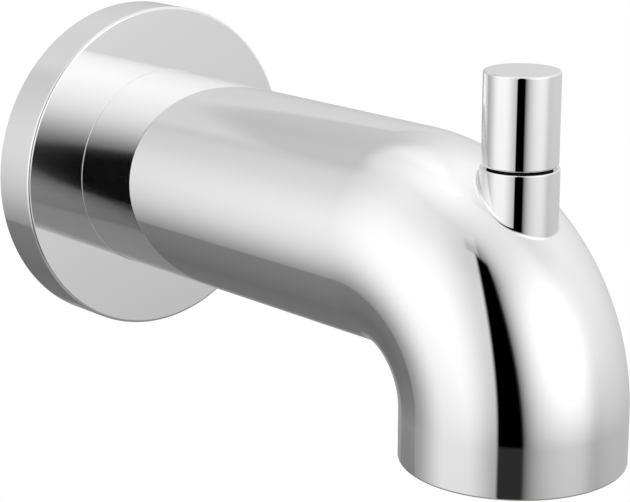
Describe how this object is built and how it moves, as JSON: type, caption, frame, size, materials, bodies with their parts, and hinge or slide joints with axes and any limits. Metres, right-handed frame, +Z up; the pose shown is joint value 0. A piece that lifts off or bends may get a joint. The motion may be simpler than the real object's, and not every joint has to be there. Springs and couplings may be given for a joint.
{
  "type": "bath spout",
  "caption": "Chrome bath spout: a round tube from a wall flange, bending down at the open outlet, with a pull-up diverter knob on a boss over the bend.",
  "frame": {"origin": "centre of the flange's flat back face, on the tube's axis, where it meets the wall", "axes": "+Y out of the wall face into the wall, the spout reaches along -Y, +Z up along the knob's travel"},
  "size_m": [0.082, 0.159, 0.0859],
  "materials": {
    "chrome_plate": "polished chrome plate",
    "turned_brass": "turned",
    "stainless": "turned stainless",
    "black_rubber": "matt black",
    "black_acetal": "black moulded",
    "white_acetal": "natural white moulded"
  },
  "bodies": {
    "spout": {"spout_body": "chrome_plate", "wall_flange": "chrome_plate", "flange_gasket": "black_rubber", "flange_seat_ring": "black_rubber", "inlet_adapter": "turned_brass", "collar_o_ring": "black_rubber", "nose_o_ring_rear": "black_rubber", "nose_o_ring_front": "black_rubber", "set_screw": "stainless", "waterway": "white_acetal", "rod_bushing": "turned_brass", "rod_o_ring": "black_rubber", "bushing_o_ring": "black_rubber", "lock_washer": "stainless", "bushing_nut": "turned_brass", "knob_washer": "black_acetal"},
    "diverter": {"diverter_gate": "black_acetal", "gate_seal": "black_rubber", "lift_rod": "stainless", "diverter_knob": "chrome_plate"}
  },
  "joints": [
    {"name": "diverter_lift", "type": "slide", "parent": "spout", "child": "diverter", "axis": [0, 0, 1], "range_m": [0, 0.012]}
  ]
}
